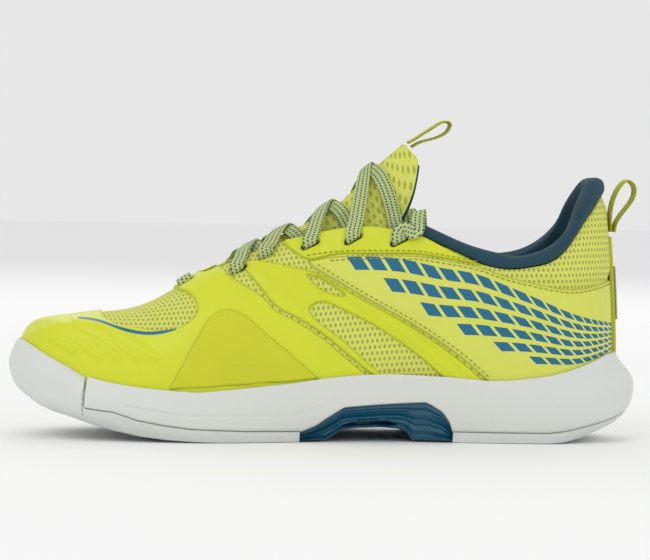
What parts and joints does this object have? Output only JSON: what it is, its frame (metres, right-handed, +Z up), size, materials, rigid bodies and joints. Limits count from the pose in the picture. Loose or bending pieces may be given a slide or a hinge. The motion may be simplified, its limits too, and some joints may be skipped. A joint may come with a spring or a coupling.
{
  "type": "tennis court shoe",
  "caption": "Low-cut right-foot court shoe: moulded outsole and cupped midsole, layered mesh upper with fused films, padded collar and tongue, flat laces and pull loops.",
  "frame": {"origin": "middle of the shoe's bounding box, on the ground the sole stands on", "axes": "-Y towards the toe, +Y towards the heel, +X towards the inner (medial) side of this right shoe, +Z up"},
  "size_m": [0.1106, 0.2962, 0.15],
  "materials": {
    "overlay_film": "fused film, fine leather-like grain",
    "quarter_film": "fused film, fine grain with a printed band",
    "guard_film": "raised film, smooth",
    "trim_film": "fused film",
    "mesh": "engineered knit mesh with open cells",
    "lining_fabric": "brushed knit",
    "foam": "open cell foam",
    "midsole_foam": "moulded foam",
    "outsole_rubber": "moulded rubber",
    "shank_plastic": "moulded, fluted",
    "board": "stitched board",
    "insole_fabric": "knit cover on foam",
    "stiffener": "thermoformed sheet",
    "lace": "flat weave with blue flecks",
    "lace_tip": "heat-shrunk film",
    "webbing": "woven tape",
    "reflector": "satin film"
  },
  "bodies": {
    "shoe": {"aglet_lateral": "lace_tip", "aglet_medial": "lace_tip", "backstay": "trim_film", "cage_lateral": "overlay_film", "cage_medial": "overlay_film", "collar_foam": "foam", "collar_lining": "lining_fabric", "eyestay_lateral": "overlay_film", "eyestay_medial": "overlay_film", "forefoot_guard_lateral": "guard_film", "forefoot_guard_medial": "guard_film", "heel_counter": "stiffener", "heel_reflector": "reflector", "lace": "lace", "midfoot_shank": "shank_plastic", "midsole": "midsole_foam", "outsole_forefoot": "outsole_rubber", "outsole_heel": "outsole_rubber", "quarter_panel_lateral": "quarter_film", "quarter_panel_medial": "quarter_film", "strobel_board": "board", "toe_overlay": "overlay_film", "toe_puff": "stiffener", "upper_base_mesh": "mesh", "vamp_lining": "lining_fabric"},
    "tongue": {"tongue_shell": "mesh", "tongue_foam": "foam", "tongue_lining": "lining_fabric"},
    "tongue_loop": {"tongue_pull_loop": "webbing"},
    "heel_loop": {"heel_pull_loop": "webbing"},
    "insole": {"insole": "insole_fabric"}
  },
  "joints": [
    {"name": "tongue_give", "type": "hinge", "parent": "shoe", "child": "tongue", "pos_m": [0.0033, -0.0595, 0.068], "axis": [1, 0, 0], "range_deg": [-4, 0], "stiffness_Nm_per_rad": 3},
    {"name": "tongue_loop_bend", "type": "hinge", "parent": "tongue", "child": "tongue_loop", "pos_m": [0.0033, 0.038, 0.1385], "axis": [1, 0, 0], "range_deg": [0, 35], "stiffness_Nm_per_rad": 0.01},
    {"name": "heel_loop_bend", "type": "hinge", "parent": "shoe", "child": "heel_loop", "pos_m": [0.0033, 0.136, 0.0984], "axis": [1, 0, 0], "range_deg": [-70, 0], "stiffness_Nm_per_rad": 0.01},
    {"name": "insole_lift", "type": "hinge", "parent": "shoe", "child": "insole", "pos_m": [0.0123, -0.1315, 0.022], "axis": [1, 0, 0], "range_deg": [0, 3]}
  ]
}
